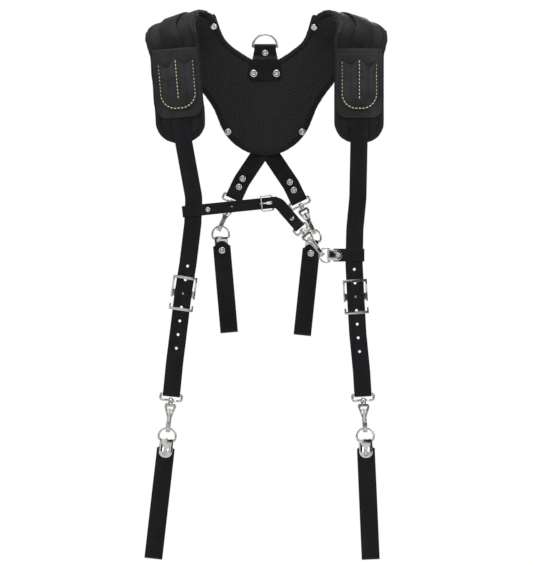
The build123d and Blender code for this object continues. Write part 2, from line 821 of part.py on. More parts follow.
def hook(face, facing):
    """The hook: a button and stem in the eye's boss, a forked head, a back and a bowl with its nose."""
    inner, outer = hook_throat / 2, hook_throat / 2 + hook_thickness
    across = side_plane(face)
    with BuildPart() as piece:
        with BuildSketch(across):
            with BuildLine():
                Polyline((facing * 7.5, boss_bottom - 3), (facing * 7.5, -35), (facing * 2, -36),
                         (facing * -inner, -44), (facing * -inner, -bowl_depth),
                         (facing * -outer, -bowl_depth), (facing * -outer, -40), (facing * -7, -32),
                         (facing * -7, boss_bottom - 3), close=True)
            make_face()
            with Locations((0, -bowl_depth)):
                Circle(outer)
            with Locations((facing * (inner + hook_thickness / 2), -bowl_depth + 4.5)):
                Rectangle(hook_thickness, 9)
            with Locations((0, -bowl_depth)):
                Circle(inner, mode=Mode.SUBTRACT)
            with Locations((facing * 0.5, -bowl_depth + 6)):
                Rectangle(hook_throat - 1, 12, mode=Mode.SUBTRACT)
        extrude(amount=head_half_width, both=True)
        with BuildSketch(face):
            with BuildLine():
                Polyline((-9, boss_bottom - 3), (-head_half_width, -24), (-bowl_half_width, -45),
                         (-bowl_half_width, -80), (bowl_half_width, -80), (bowl_half_width, -45),
                         (head_half_width, -24), (9, boss_bottom - 3), close=True)
            make_face()
            with BuildLine():
                Polyline((-6.5, -24), (-3, -38), (3, -38), (6.5, -24), close=True)
            make_face(mode=Mode.SUBTRACT)
        extrude(amount=2 * outer, both=True, mode=Mode.INTERSECT)
        with Locations(Plane(face.from_local_coords((0, boss_bottom - running_gap, 0)), z_dir=-face.y_dir)):
            Cylinder(boss_radius, 5, align=(Align.CENTER, Align.CENTER, Align.MIN))
        with Locations(Plane(face.from_local_coords((0, boss_top + running_gap, 0)), z_dir=face.y_dir)):
            Cylinder(button_radius, button_height, align=(Align.CENTER, Align.CENTER, Align.MIN))
        with Locations(Plane(face.from_local_coords((0, boss_top + 1, 0)), z_dir=-face.y_dir)):
            Cylinder(stem_radius, boss_length + 3, align=(Align.CENTER, Align.CENTER, Align.MIN))
        with BuildSketch(across):
            with Locations((facing * gate_pivot[0], gate_pivot[1])):
                Circle(gate_pin)
        extrude(amount=6, both=True)
    return piece.part


def gate(face, facing):
    """The sprung gate: a lever from its pin in the hook's head to the inside of the nose."""
    tip = (facing * (hook_throat / 2 - 1.8), -bowl_depth + 4.5)
    root = (facing * gate_pivot[0], gate_pivot[1])
    with BuildPart() as piece:
        with BuildSketch(side_plane(face)):
            with BuildLine() as lever:
                Line(root, tip)
            trace(lever.line, line_width=3)
            with Locations(root):
                Circle(2.4)
            with Locations(tip):
                Circle(1.5)
            with Locations(root):
                Circle(gate_pin + 0.05, mode=Mode.SUBTRACT)
        extrude(amount=gate_width / 2, both=True)
    return piece.part


arc_radius = (ring_width - ring_wire) / 2
bar_drop = ring_height - ring_wire - arc_radius
clip_inner = ring_wire / 2 + running_gap
clip_outer = clip_inner + clip_thickness
clip_end, rivet_drop = -33.0, -24.0


def clip(face, facing, leather, end, width=clip_width):
    """The metal clip: folded over a D-ring's bar, with a leaf outside and a leaf inside the leather."""
    inner_leaf = clip_inner - leather
    with BuildPart() as piece:
        with BuildSketch(side_plane(face)):
            Circle(clip_outer)
            with Locations((0, -clip_outer)):
                Rectangle(2 * clip_outer, 2 * clip_outer, mode=Mode.SUBTRACT)
            with Locations((facing * (clip_inner + clip_thickness / 2), end / 2)):
                Rectangle(clip_thickness, -end)
            with BuildLine():
                Polyline((facing * -clip_outer, 0), (facing * -clip_outer, -3),
                         (facing * (inner_leaf - clip_thickness), -7),
                         (facing * (inner_leaf - clip_thickness), end + 2), (facing * inner_leaf, end + 2),
                         (facing * inner_leaf, -7), (facing * -clip_inner, -3), (facing * -clip_inner, 0),
                         close=True)
            make_face()
            Circle(clip_inner, mode=Mode.SUBTRACT)
        extrude(amount=width / 2, both=True)
        with BuildSketch(face) as leaf:
            with BuildLine():
                Polyline((-width / 2, 10), (-width / 2, end), (width / 2, end), (width / 2, 10), close=True)
            make_face()
            fillet(leaf.vertices().sort_by(Axis.Y)[:2], width / 2 - 1)
        extrude(amount=4 * clip_outer, both=True, mode=Mode.INTERSECT)
    return piece.part


def clip_rivet(face, facing, leather, drop):
    """The rivet through a clip and the leather that it holds, outer cap on the clip's outer leaf."""
    stack = clip_outer - (clip_inner - 2 * leather - clip_thickness)
    spot = Plane(face.from_local_coords((0, drop, -facing * clip_outer)),
                 x_dir=face.x_dir, z_dir=(0, facing, 0))
    return rivet(stack, small_cap, medium_cap).moved(spot.location)


def hanger(face, facing, length, punch):
    """The belt hanger: one strip of leather from the clip down, round, and up to a rounded end."""
    outer = clip_inner - hanger_leather / 2
    inner = outer - hanger_leather - clip_thickness
    wide, narrow = (outer + inner) / 2 + hanger_gap / 2 + 1.5, (outer + inner) / 2 - hanger_gap / 2 - 1.5
    round_end = hanger_width / 2
    with BuildPart() as piece:
        with BuildSketch(side_plane(face)):
            with BuildLine() as strip:
                FilletPolyline((facing * outer, -15), (facing * outer, clip_end - 3),
                               (facing * wide, -80), (facing * wide, hanger_leather / 2 - length),
                               (facing * narrow, hanger_leather / 2 - length), (facing * narrow, -80),
                               (facing * inner, clip_end - 3), (facing * inner, -7 - round_end),
                               radius=[40, 40, 6, 6, 40, 40])
            trace(strip.line, line_width=hanger_leather)
        extrude(amount=hanger_width / 2, both=True)
        with BuildSketch(Plane(face.from_local_coords((0, -7 - round_end, -facing * (inner - 1.5))),
                               x_dir=face.x_dir, z_dir=(0, facing, 0))):
            Circle(round_end)
        extrude(amount=hanger_leather)
        add(punch, mode=Mode.SUBTRACT)
    return piece.part


corners = {
    "front_left": (front_face(left), -1, 2.5, 2.5, front_hanger_length),
    "front_right": (front_face(right), -1, -6.5, -6.5, front_hanger_length),
    "back_right": (hang_plane(left_back_end, pad_outer, end_tilt(left_back_end, left_back_bend)),
                   1, 0.0, 5.0, back_hanger_length),
    "back_left": (hang_plane(right_back_end, strap_outer, end_tilt(right_back_end, right_back_bend)),
                  1, 0.0, -6.0, back_hanger_length),
}


def ring_plane(face, to_centre, ring_tilt, radius):
    """Where a D-ring's arc centre lies when its wire hangs in a hook's bowl."""
    hook_tilt = atan2(-face.y_dir.X, face.y_dir.Z)
    lean = abs(radians(to_centre) - hook_tilt)
    lift = (bowl_half_width * tan(lean) + bowl_half_width ** 2 / (2 * radius)
            + ring_wire / 2 * (1 / cos(lean) - 1) + bowl_clearance)
    depth = bowl_depth + hook_throat / 2 - ring_wire / 2 - lift
    contact = face.from_local_coords((0, -depth, 0))
    x = contact.X + radius * sin(radians(to_centre))
    z = contact.Z - radius * cos(radians(to_centre))
    return hang_plane((x, z), face.origin.Y, radians(ring_tilt))


for corner, (face, facing, to_centre, ring_tilt, length) in corners.items():
    ring_face = ring_plane(face, to_centre, ring_tilt, arc_radius)
    bar = ring_face.from_local_coords((0, -bar_drop, 0))
    bar_face = hang_plane((bar.X, bar.Z), bar.Y, radians(ring_tilt))
    hanger_rivet = clip_rivet(bar_face, facing, hanger_leather, rivet_drop)
    pieces = {
        "eye": eye(face, eye_width),
        "hook": hook(face, facing),
        "gate": gate(face, facing),
        "ring": d_ring(ring_face, ring_wire, ring_width, ring_height),
        "clip": clip(bar_face, facing, hanger_leather, clip_end) - hanger_rivet,
        "hanger": hanger(bar_face, facing, length, hanger_rivet),
        "rivet": hanger_rivet,
    }
    for kind, solid in pieces.items():
        solid.label = f"{corner}_{kind}"
        export_step(solid, f"parts/{corner}_{kind}.step")

# ---------------------------------------------------------------- chest strap

chest_wire = 3.0
chest_eye_width = 31.0
chest_frame_reach = 22.0
chest_frame_width = 31.0
chest_heel = (14, -296.5)
chest_heel_tilt = radians(96)
chest_run = [(-190, -317.5), (24, -295.5)]
chest_end = (62, -340)
chest_tail = (42, -317.3)
chest_hole = (-61.7, -304.3)
chest_hole_diameter = 3.5
chest_axis_y = -pad_outer
chest_short_rivets = [(41.0, -315.4), (49.5, -325.3)]
prong_wire = 2.4
prong_room = 2.4
tab_ring_width, tab_ring_height = 30.0, 22.0
tab_width = 24.0
chest_tab_leather = 2.2
tab_clip_width = 20.0
tab_clip_end = -24.0
tab_rivet_drop = -17.0
tab_to_centre, tab_ring_tilt = 60.0, 90.0
heel_loop = chest_wire / 2 + running_gap

chest_eye_face = hang_plane(chest_end, chest_axis_y, end_tilt(chest_end, chest_run[1]))
heel_face = hang_plane(chest_heel, chest_axis_y, chest_heel_tilt)
heel_back = hang_plane(chest_heel, chest_axis_y, chest_heel_tilt + pi)
far_bar_out = chest_leather + strap_outer - pad_outer + chest_wire / 2 + running_gap
frame_rise = asin(far_bar_out / chest_frame_reach)
frame_plane = Plane(heel_face.origin, x_dir=heel_face.x_dir,
                    z_dir=heel_face.z_dir * cos(frame_rise) - heel_face.y_dir * sin(frame_rise))


def loop_end(face, inner, leather, width):
    """A thin strap's folded end round a bar."""
    with BuildPart() as loop:
        with BuildSketch(side_plane(face)):
            Circle(inner + leather)
            with BuildLine():
                Polyline((-inner - leather, 0), (-leather, 9), (leather, 9), (inner + leather, 0), close=True)
            make_face()
            Circle(inner, mode=Mode.SUBTRACT)
        extrude(amount=width / 2, both=True)
    return loop.part


tab_arc_radius = (tab_ring_width - ring_wire) / 2
tab_ring_face = ring_plane(chest_eye_face, tab_to_centre, tab_ring_tilt, tab_arc_radius)
tab_bar = tab_ring_face.from_local_coords((0, tab_arc_radius + ring_wire - tab_ring_height, 0))
tab_face = hang_plane((tab_bar.X, tab_bar.Z), chest_axis_y, radians(tab_ring_tilt))

with BuildPart() as chest_rivets:
    add(clip_rivet(tab_face, -1, chest_tab_leather, tab_rivet_drop))
    add(rivet_before(*chest_rivet, chest_front, chest_front + 2 * chest_leather, small_cap, medium_cap))
    for x, z in chest_short_rivets:
        add(rivet_before(x, z, chest_axis_y - chest_leather, chest_axis_y + chest_leather,
                         small_cap, medium_cap))
finish(chest_rivets, "chest_rivets")

with BuildPart() as chest_short_strap:
    add(slab(band([chest_heel, chest_run[1], chest_end], chest_width, 18),
             chest_axis_y - chest_leather, chest_axis_y + chest_leather))
    for face in (chest_eye_face, heel_back):
        add(above_end(face, 9), mode=Mode.INTERSECT)
    add(loop_end(chest_eye_face, loop_inner, chest_leather, chest_width))
    add(loop_end(heel_back, heel_loop, chest_leather, chest_width))
    with BuildSketch(heel_face):
        Rectangle(prong_wire + prong_room, 16)
    extrude(amount=12, both=True, mode=Mode.SUBTRACT)
    add(chest_rivets.part, mode=Mode.SUBTRACT)
finish(chest_short_strap, "chest_short_strap")


def chest_long_runs():
    """The long chest strap from above: tail, buckle and round the front strap, and its doubled end."""
    front = -(chest_leather / 2 + strap_outer - pad_outer)
    tail = -(heel_loop + 1.5 * chest_leather + running_gap)
    back = chest_leather / 2
    doubled = front + chest_leather - pressed
    main = band([(tail, -reach / 4), (tail, 3), (front, 13), (front, 167.2), (back, 167.2), (back, 130)],
                chest_leather, [6, 6, 1.5, 1.5])
    return main, band([(back, 132), (back, 129), (doubled, 123.5), (doubled, 111)], chest_leather, [2, 2])


def chest_long_outline():
    """The long chest strap from the front, with its rounded tail."""
    with BuildSketch() as outline:
        add(band([*chest_run, chest_tail], chest_width, 18))
        with Locations(chest_tail):
            Circle(chest_width / 2)
    return outline.sketch


with BuildPart() as chest_long_strap:
    for run in chest_long_runs():
        with BuildSketch(side_plane(heel_face)):
            add(run)
        extrude(amount=reach, both=True)
    add(slab(chest_long_outline(), -2 * pad_outer, 0), mode=Mode.INTERSECT)
    with BuildSketch(heel_face):
        with Locations((0, 5.3)):
            SlotOverall(12, prong_wire + prong_room, rotation=90)
    extrude(amount=12, both=True, mode=Mode.SUBTRACT)
    with Locations(Plane((chest_hole[0], chest_front, chest_hole[1]), z_dir=(0, -1, 0))):
        Cylinder(chest_hole_diameter / 2, 3 * chest_leather, mode=Mode.SUBTRACT)
    add(chest_rivets.part, mode=Mode.SUBTRACT)
finish(chest_long_strap, "chest_long_strap")

with BuildPart() as chest_buckle:
    half_frame = (chest_frame_width - chest_wire) / 2
    with BuildLine(frame_plane) as frame:
        FilletPolyline((half_frame, 0), (half_frame, chest_frame_reach), (-half_frame, chest_frame_reach),
                       (-half_frame, 0), radius=chest_wire * 0.8, close=True)
    with BuildSketch(Plane(frame.wire() @ 0, z_dir=frame.wire() % 0)):
        Circle(chest_wire / 2)
    sweep(path=frame.wire())
finish(chest_buckle, "chest_buckle")

with BuildPart() as chest_prong:
    bar_along = chest_frame_reach * cos(frame_rise)
    bar_out = far_bar_out + chest_wire / 2 + prong_wire / 2 + 1.7 * running_gap
    with BuildSketch(side_plane(heel_face)):
        with BuildLine() as lever:
            Polyline((-2.2, 1), (-6.2, 4.2), (-bar_out, bar_along), (-bar_out - 0.6, bar_along + 3.5))
        trace(lever.line, line_width=prong_wire)
        Circle(heel_loop + 1.5)
        Circle(heel_loop, mode=Mode.SUBTRACT)
    extrude(amount=prong_wire / 2, both=True)
finish(chest_prong, "chest_prong")

with BuildPart() as chest_tab:
    near = route_point(left, tab_bar.Z)[0] - half_strap - tab_bar.X
    far = near + strap_width + chest_tab_leather / 2 + 2 * running_gap
    outer = strap_thickness + chest_tab_leather / 2
    facing_layer = -chest_tab_leather / 2
    other_layer = clip_thickness + chest_tab_leather / 2
    with BuildSketch(side_plane(tab_face)):
        with BuildLine() as wrap:
            FilletPolyline((facing_layer, -8), (facing_layer, -near + 5), (-outer, -near + 1), (-outer, -far),
                           (outer, -far), (outer, -near + 1), (other_layer, -near + 5), (other_layer, -8),
                           radius=[1.5, 1.5, 1.5, 1.5, 1.5, 1.5])
        trace(wrap.line, line_width=chest_tab_leather)
    extrude(amount=tab_width / 2, both=True)
    add(chest_rivets.part, mode=Mode.SUBTRACT)
finish(chest_tab, "chest_tab")

with BuildPart() as chest_tab_clip:
    add(clip(tab_face, -1, chest_tab_leather, tab_clip_end, tab_clip_width))
    add(chest_rivets.part, mode=Mode.SUBTRACT)
finish(chest_tab_clip, "chest_tab_clip")

with BuildPart() as chest_tab_ring:
    add(d_ring(tab_ring_face, ring_wire, tab_ring_width, tab_ring_height))
finish(chest_tab_ring, "chest_tab_ring")

with BuildPart() as chest_eye:
    add(eye(chest_eye_face, chest_eye_width))
finish(chest_eye, "chest_eye")

with BuildPart() as chest_hook:
    add(hook(chest_eye_face, -1))
finish(chest_hook, "chest_hook")

with BuildPart() as chest_gate:
    add(gate(chest_eye_face, -1))
finish(chest_gate, "chest_gate")
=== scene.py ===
# %% [markdown]
# # Leather suspenders for a tool belt
#
# This lesson dresses a finished CAD model. The frame gives every piece at its real size and place, in metres.
# The metal parts and the flat straps keep their CAD shape and get rounded edges and a finish. The pads, the
# sleeves and the pockets are soft, so each is modelled again here as padded or folded leather.

# %% Load the frame
from math import cos, pi, radians, sin, sqrt, tan

import bmesh
import bpy
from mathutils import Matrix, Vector
from mathutils.bvhtree import BVHTree


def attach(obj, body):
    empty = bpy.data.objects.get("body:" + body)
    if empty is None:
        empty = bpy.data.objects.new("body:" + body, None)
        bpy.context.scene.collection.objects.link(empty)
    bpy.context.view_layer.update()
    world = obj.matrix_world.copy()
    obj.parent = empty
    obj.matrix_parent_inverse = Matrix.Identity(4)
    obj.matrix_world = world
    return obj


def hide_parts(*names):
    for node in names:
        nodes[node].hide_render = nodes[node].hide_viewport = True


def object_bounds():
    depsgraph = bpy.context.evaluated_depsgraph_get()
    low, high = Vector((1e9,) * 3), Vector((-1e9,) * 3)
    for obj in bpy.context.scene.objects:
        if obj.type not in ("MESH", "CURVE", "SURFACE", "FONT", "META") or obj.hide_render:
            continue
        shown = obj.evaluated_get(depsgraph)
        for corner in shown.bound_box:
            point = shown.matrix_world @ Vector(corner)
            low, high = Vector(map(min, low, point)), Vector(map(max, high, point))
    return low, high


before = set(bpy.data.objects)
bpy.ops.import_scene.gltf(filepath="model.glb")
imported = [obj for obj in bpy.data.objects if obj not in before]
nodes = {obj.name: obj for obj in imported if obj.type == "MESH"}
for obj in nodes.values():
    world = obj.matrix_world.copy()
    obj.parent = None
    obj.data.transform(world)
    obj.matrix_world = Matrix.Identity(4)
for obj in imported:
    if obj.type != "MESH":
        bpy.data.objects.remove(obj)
cad_low, cad_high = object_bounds()
MM = 0.001
print("the frame has", len(nodes), "pieces and is", [round(v, 3) for v in cad_high - cad_low], "m")

# %% [markdown]
# ## The camera
#
# The harness is seen from straight in front and level with its middle, through a long lens, so that straps
# which run side by side stay parallel. The distance follows from the lens and from how much of the picture's
# height the harness fills.

# %% Camera
PICTURE_WIDTH, PICTURE_HEIGHT = 533, 565
FILLED = 0.985
LENS = 200

camera_data = bpy.data.cameras.new("camera")
camera_data.sensor_fit = "HORIZONTAL"
camera_data.lens = LENS
camera = bpy.data.objects.new("camera", camera_data)
bpy.context.scene.collection.objects.link(camera)
seen_height = (cad_high.z - cad_low.z) / FILLED
seen_width = seen_height * PICTURE_WIDTH / PICTURE_HEIGHT
distance = LENS / camera_data.sensor_width * seen_width
middle = (cad_low + cad_high) / 2
camera.location = (middle.x, cad_low.y - distance, middle.z)
camera.rotation_euler = (pi / 2, 0, 0)
bpy.context.scene.camera = camera
print("the camera is", round(distance, 2), "m away")

# %% [markdown]
# ## Floor and light
#
# Black leather shows its grain only by what it reflects, so the light is broad and soft: one large panel on
# each side, one above, one behind, and an even pale surround. The surround and the floor look white to the
# camera and in the metal, but give the harness no more light than a plain room would.

# %% Helpers for the studio
def new_material(name):
    """A material with empty nodes, and its node tree."""
    material = bpy.data.materials.new(name)
    material.use_nodes = True
    material.node_tree.nodes.clear()
    return material, material.node_tree


def white_to_the_eye(tree, kind, shader):
    """Mix a shader with plain white for camera, mirror and glass rays."""
    make, link = tree.nodes.new, tree.links.new
    path = make("ShaderNodeLightPath")
    either = make("ShaderNodeMath")
    either.operation = "MAXIMUM"
    link(path.outputs["Is Camera Ray"], either.inputs[0])
    link(path.outputs["Is Glossy Ray"], either.inputs[1])
    any_ray = make("ShaderNodeMath")
    any_ray.operation = "MAXIMUM"
    link(either.outputs[0], any_ray.inputs[0])
    link(path.outputs["Is Transmission Ray"], any_ray.inputs[1])
    white = make(kind)
    white.inputs["Color"].default_value = (1, 1, 1, 1)
    white.inputs["Strength"].default_value = 1
    mix = make("ShaderNodeMixShader")
    link(any_ray.outputs[0], mix.inputs[0])
    link(shader.outputs[0], mix.inputs[1])
    link(white.outputs[0], mix.inputs[2])
    return mix


# %% Surround and floor
SURROUND_LIGHT = 0.55
FLOOR_DROP, FLOOR_HALF, FLOOR_GREY = 12 * MM, 6, 0.86

scene = bpy.context.scene
scene.view_settings.view_transform = "Standard"
world = bpy.data.worlds.new("studio")
scene.world = world
world.use_nodes = True
world.node_tree.nodes.clear()
surround = world.node_tree.nodes.new("ShaderNodeBackground")
surround.inputs["Color"].default_value = (1, 1, 1, 1)
surround.inputs["Strength"].default_value = SURROUND_LIGHT
seen = white_to_the_eye(world.node_tree, "ShaderNodeBackground", surround)
world_output = world.node_tree.nodes.new("ShaderNodeOutputWorld")
world.node_tree.links.new(seen.outputs[0], world_output.inputs[0])

floor_mesh = bpy.data.meshes.new("floor")
floor_z = cad_low.z - FLOOR_DROP
floor_corners = [(x * FLOOR_HALF, y * FLOOR_HALF, floor_z) for x, y in ((-1, -1), (1, -1), (1, 1), (-1, 1))]
floor_mesh.from_pydata(floor_corners, [], [(0, 1, 2, 3)])
floor = bpy.data.objects.new("floor", floor_mesh)
scene.collection.objects.link(floor)
floor_material, floor_tree = new_material("floor")
diffuse = floor_tree.nodes.new("ShaderNodeBsdfDiffuse")
diffuse.inputs["Color"].default_value = (FLOOR_GREY, FLOOR_GREY, FLOOR_GREY, 1)
seen = white_to_the_eye(floor_tree, "ShaderNodeEmission", diffuse)
floor_output = floor_tree.nodes.new("ShaderNodeOutputMaterial")
floor_tree.links.new(seen.outputs[0], floor_output.inputs[0])
floor.data.materials.append(floor_material)
print("the floor is", FLOOR_DROP / MM, "mm below the hangers")


# %% Light panels
def panel(name, place, size, power):
    """A square light panel that faces the middle of the harness."""
    light = bpy.data.lights.new(name, "AREA")
    light.size, light.energy = size, power
    lamp = bpy.data.objects.new(name, light)
    lamp.location = place
    lamp.rotation_euler = (middle - Vector(place)).to_track_quat("-Z", "Y").to_euler()
    scene.collection.objects.link(lamp)


panel("panel_left", (-2.2, -1.8, 0.5), 1.4, 34)
panel("panel_right", (2.2, -1.6, 0.3), 1.4, 26)
panel("panel_above", (0, -0.6, 2.2), 1.6, 30)
panel("panel_behind", (0.6, 2.4, 0.6), 1.6, 30)
print("four light panels face the harness")

# %% [markdown]
# Polished metal only looks like metal when it has something dark to reflect, so tall black cards stand
# round the harness, as in a product studio. They are seen in reflections and by nothing else.

# %% Dark cards for the reflections
CARDS = 6
CARD_DISTANCE, CARD_WIDTH, CARD_HEIGHT = 2.6, 1.8, 3.6
FIRST_CARD = 14  # degrees round from the front
card_material, card_tree = new_material("dark_card")
card_shader = card_tree.nodes.new("ShaderNodeBsdfDiffuse")
card_shader.inputs["Color"].default_value = (0.012, 0.012, 0.014, 1)
card_output = card_tree.nodes.new("ShaderNodeOutputMaterial")
card_tree.links.new(card_shader.outputs[0], card_output.inputs[0])
for number in range(CARDS):
    angle = radians(360 / CARDS * number + FIRST_CARD)
    inwards, sideways = Vector((-sin(angle), cos(angle), 0)), Vector((cos(angle), sin(angle), 0))
    centre = middle - inwards * CARD_DISTANCE
    corners = [centre + sideways * (a * CARD_WIDTH / 2) + Vector((0, 0, b * CARD_HEIGHT / 2))
               for a, b in ((-1, -1), (1, -1), (1, 1), (-1, 1))]
    card_mesh = bpy.data.meshes.new("card")
    card_mesh.from_pydata(corners, [], [(0, 1, 2, 3)])
    card = bpy.data.objects.new("card", card_mesh)
    scene.collection.objects.link(card)
    card_mesh.materials.append(card_material)
    for rays in ("camera", "diffuse", "transmission", "volume_scatter", "shadow"):
        setattr(card, "visible_" + rays, False)
print(CARDS, "dark cards stand round the harness")

# %% [markdown]
# ## Leather, mesh and nickel
#
# The straps are black bridle leather: a satin surface with a fine pebble grain and slow, cloudy changes in
# colour and gloss where it has been handled. Three scales of bump do that: a broad noise for the unevenness, a
# cell pattern for the grain and a fine noise for the pores. All are in object space, so that every piece has
# grain of the same real size.

# %% Helpers for node materials
def place_texture(tree, kind, scale, **inputs):
    """A texture in object space, in metres, repeating about `scale` times per metre."""
    coordinates = tree.nodes.new("ShaderNodeTexCoord")
    texture = tree.nodes.new(kind)
    texture.inputs["Scale"].default_value = scale
    for name, value in inputs.items():
        texture.inputs[name].default_value = value
    tree.links.new(coordinates.outputs["Object"], texture.inputs["Vector"])
    return texture


def mapped(tree, output, low, high, from_low=0.0, from_high=1.0):
    """A value scaled from one range to another."""
    ranges = tree.nodes.new("ShaderNodeMapRange")
    ranges.inputs["From Min"].default_value = from_low
    ranges.inputs["From Max"].default_value = from_high
    ranges.inputs["To Min"].default_value = low
    ranges.inputs["To Max"].default_value = high
    tree.links.new(output, ranges.inputs["Value"])
    return ranges.outputs["Result"]


def blended(tree, factor, first, second):
    """A colour between two. The Mix node takes colours at sockets 6 and 7 and gives one at 2."""
    mix = tree.nodes.new("ShaderNodeMix")
    mix.data_type = "RGBA"
    tree.links.new(factor, mix.inputs["Factor"])
    mix.inputs[6].default_value = (*first, 1)
    mix.inputs[7].default_value = (*second, 1)
    return mix.outputs[2]


def bumped(tree, height, distance, strength, under=None):
    """A bump from a height, on top of another bump."""
    bump = tree.nodes.new("ShaderNodeBump")
    bump.inputs["Distance"].default_value = distance
    bump.inputs["Strength"].default_value = strength
    tree.links.new(height, bump.inputs["Height"])
    if under:
        tree.links.new(under, bump.inputs["Normal"])
    return bump.outputs["Normal"]


def principled(tree):
    """The main shader, joined to the output."""
    shader = tree.nodes.new("ShaderNodeBsdfPrincipled")
    output = tree.nodes.new("ShaderNodeOutputMaterial")
    tree.links.new(shader.outputs[0], output.inputs[0])
    return shader


# %% Four leathers
def leather(name, dark, light, smooth, rough, grain=1400, depth=0.35, gloss=0.2):
    """Satin leather between two colours and two roughnesses, with a grain this fine."""
    material, tree = new_material(name)
    shader = principled(tree)
    clouds = place_texture(tree, "ShaderNodeTexNoise", 22, Detail=5, Roughness=0.6)
    cells = place_texture(tree, "ShaderNodeTexVoronoi", grain)
    pores = place_texture(tree, "ShaderNodeTexNoise", grain * 1.7, Detail=3)
    tree.links.new(blended(tree, mapped(tree, clouds.outputs[0], 0, 1, 0.35, 0.7), dark, light),
                   shader.inputs["Base Color"])
    tree.links.new(mapped(tree, clouds.outputs[0], rough, smooth, 0.3, 0.7), shader.inputs["Roughness"])
    broad = bumped(tree, clouds.outputs[0], 0.004, 0.25)
    pebble = bumped(tree, cells.outputs["Distance"], 0.0004, depth, broad)
    tree.links.new(bumped(tree, pores.outputs[0], 0.0002, depth * 0.6, pebble), shader.inputs["Normal"])
    shader.inputs["Specular IOR Level"].default_value = gloss
    return material


strap_leather = leather("strap_leather", (0.0026, 0.0027, 0.0036), (0.006, 0.0062, 0.008),
                        smooth=0.40, rough=0.56, gloss=0.15)
pad_leather = leather("pad_leather", (0.0035, 0.0036, 0.0042), (0.0095, 0.0098, 0.011),
                      smooth=0.44, rough=0.60, grain=900, depth=0.6, gloss=0.17)
pouch_leather = leather("pouch_leather", (0.007, 0.0072, 0.008), (0.0185, 0.019, 0.0205),
                        smooth=0.42, rough=0.62, grain=750, depth=0.7, gloss=0.24)
binding_leather = leather("binding_leather", (0.003, 0.003, 0.0035), (0.0055, 0.0055, 0.0065),
                          smooth=0.5, rough=0.62, grain=1800, depth=0.2)
print("four leathers mixed")

# %% [markdown]
# The lining is a spacer mesh: a knitted net with small oval holes in staggered rows. The rows come from a
# wave along each of two slanted directions. Where both waves are strong there is a hole. It is lower than the
# threads round it and is painted near-black, which is painted shade for the shadowed layer seen through it.

# %% Mesh lining
HOLE_PITCH = 0.007


def staggered_holes(tree):
    """A height that is 1 on the threads of the net and 0 in its holes."""
    coordinates = tree.nodes.new("ShaderNodeTexCoord")
    parts = tree.nodes.new("ShaderNodeSeparateXYZ")
    tree.links.new(coordinates.outputs["Object"], parts.inputs[0])

    def math_node(operation, *values):
        """A Math node's result, from outputs of other nodes or plain numbers."""
        node = tree.nodes.new("ShaderNodeMath")
        node.operation = operation
        for socket, value in zip(node.inputs, values):
            if isinstance(value, float):
                socket.default_value = value
            else:
                tree.links.new(value, socket)
        return node.outputs[0]

    def wave(x_share, z_share):
        """A sine wave along a slanted direction, with this many turns per hole across and upwards."""
        along_x = math_node("MULTIPLY", parts.outputs["X"], x_share * 2 * pi / HOLE_PITCH)
        slanted = math_node("MULTIPLY_ADD", parts.outputs["Z"], z_share * 2 * pi / HOLE_PITCH, along_x)
        return math_node("SINE", slanted)

    product = math_node("MULTIPLY", wave(0.5, 0.6), wave(0.5, -0.6))
    return mapped(tree, math_node("ABSOLUTE", product), 1, 0, 0.25, 0.6)


lining_mesh, tree = new_material("lining_mesh")
shader = principled(tree)
threads = staggered_holes(tree)
fuzz = place_texture(tree, "ShaderNodeTexNoise", 2600, Detail=2)
# Painted shade: the holes get a near-black colour for the shadowed layer seen through them, and the threads get
# the net's own dark grey.
tree.links.new(blended(tree, threads, (0.0008, 0.0008, 0.001), (0.017, 0.0175, 0.0195)),
               shader.inputs["Base Color"])
shader.inputs["Roughness"].default_value = 0.72
shader.inputs["Specular IOR Level"].default_value = 0.2
shader.inputs["Sheen Weight"].default_value = 0.12
shader.inputs["Sheen Roughness"].default_value = 0.4
net = bumped(tree, threads, 0.0015, 0.9)
tree.links.new(bumped(tree, fuzz.outputs[0], 0.0002, 0.4, net), shader.inputs["Normal"])
print("the net's holes are", HOLE_PITCH / MM, "mm apart")

# %% [markdown]
# The hardware is nickel plate over cast and drawn metal. Castings are never quite flat, so a faint broad bump
# breaks the reflections up, and a fine noise makes the polish a little uneven.

# %% Nickel
def nickel(name, colour, smooth, rough, wave_depth):
    """Polished nickel with slightly uneven gloss and surface."""
    material, tree = new_material(name)
    shader = principled(tree)
    shader.inputs["Metallic"].default_value = 1
    haze = place_texture(tree, "ShaderNodeTexNoise", 160, Detail=4, Roughness=0.6)
    ripples = place_texture(tree, "ShaderNodeTexNoise", 90, Detail=2)
    tarnish = tuple(c * 0.86 for c in colour)
    tree.links.new(blended(tree, haze.outputs[0], colour, tarnish), shader.inputs["Base Color"])
    tree.links.new(mapped(tree, haze.outputs[0], smooth, rough, 0.3, 0.7), shader.inputs["Roughness"])
    tree.links.new(bumped(tree, ripples.outputs[0], wave_depth, 0.4), shader.inputs["Normal"])
    return material


cast_nickel = nickel("cast_nickel", (0.56, 0.545, 0.525), 0.16, 0.30, 0.0012)
wire_nickel = nickel("wire_nickel", (0.60, 0.585, 0.565), 0.10, 0.20, 0.0004)
rivet_nickel = nickel("rivet_nickel", (0.64, 0.625, 0.60), 0.14, 0.26, 0.0003)

thread, tree = new_material("cream_thread")
shader = principled(tree)
twist = place_texture(tree, "ShaderNodeTexNoise", 1900, Detail=2)
tree.links.new(blended(tree, twist.outputs[0], (0.52, 0.42, 0.24), (0.78, 0.69, 0.47)),
               shader.inputs["Base Color"])
tree.links.new(bumped(tree, twist.outputs[0], 0.0003, 0.6), shader.inputs["Normal"])
shader.inputs["Roughness"].default_value = 0.6
print("nickel and thread mixed")

# %% [markdown]
# ## Hardware and straps keep their CAD shape
#
# These pieces are already right, so they only need a finish and softer edges. A Weld modifier joins the faces,
# and a small Bevel rounds the edges of leather and stamped metal. The hooks are castings with no sharp edge
# anywhere, so they are remeshed finely and smoothed instead.

